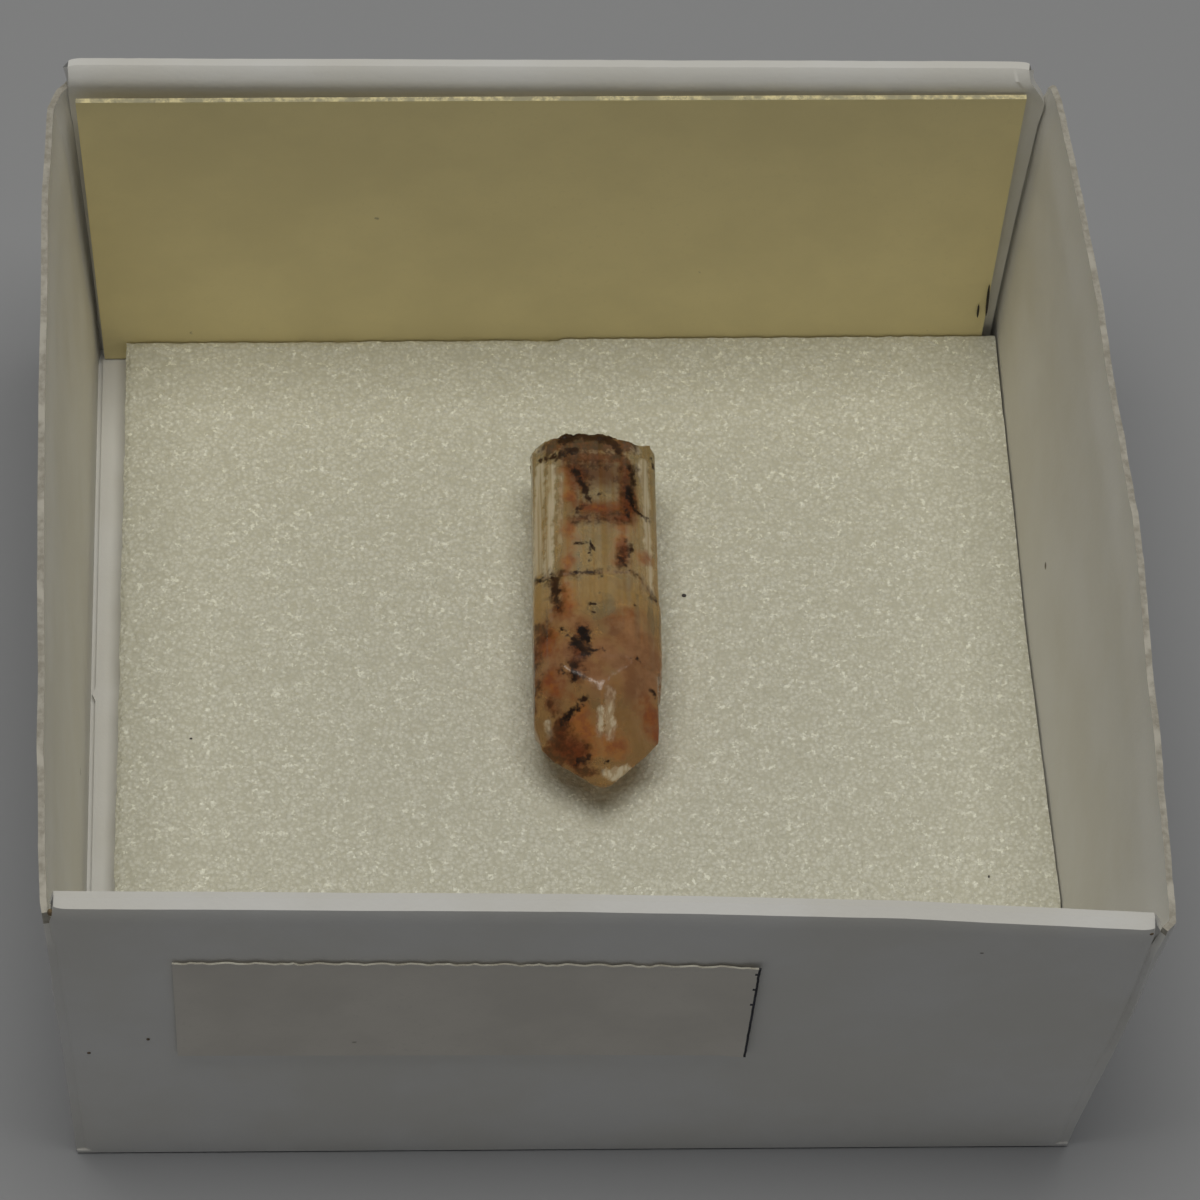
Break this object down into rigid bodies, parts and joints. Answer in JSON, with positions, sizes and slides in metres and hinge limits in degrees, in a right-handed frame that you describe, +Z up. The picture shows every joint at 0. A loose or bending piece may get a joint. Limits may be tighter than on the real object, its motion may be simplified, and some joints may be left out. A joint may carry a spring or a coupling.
{
  "type": "topaz crystal in a specimen tray",
  "caption": "Iron-stained topaz prism with a pyramid point and a broken root, lying on thin foam in a small open folded card tray with a blank name card.",
  "frame": {"origin": "middle of the tray's flat underside, at the point of the resting face", "axes": "+Z up out of the open tray, -Y towards the front wall with the sticker and along the crystal towards its point, +X to the right as seen from the front"},
  "size_m": [0.0443, 0.0419, 0.02],
  "materials": {
    "white_card": "matt white-lined card with grey-brown cut edges",
    "white_foam": "thin closed-cell polyethylene foam, sparkling fine cells",
    "cream_paper": "matt cream paper, blank",
    "sticker_paper": "matt white paper with a torn upper edge, blank",
    "topaz": "clear champagne to sherry-brown, striated, with iron stains"
  },
  "bodies": {
    "root": {"card_tray": "white_card", "foam_pad": "white_foam", "name_card": "cream_paper", "number_sticker": "sticker_paper", "topaz_crystal": "topaz"}
  },
  "joints": []
}
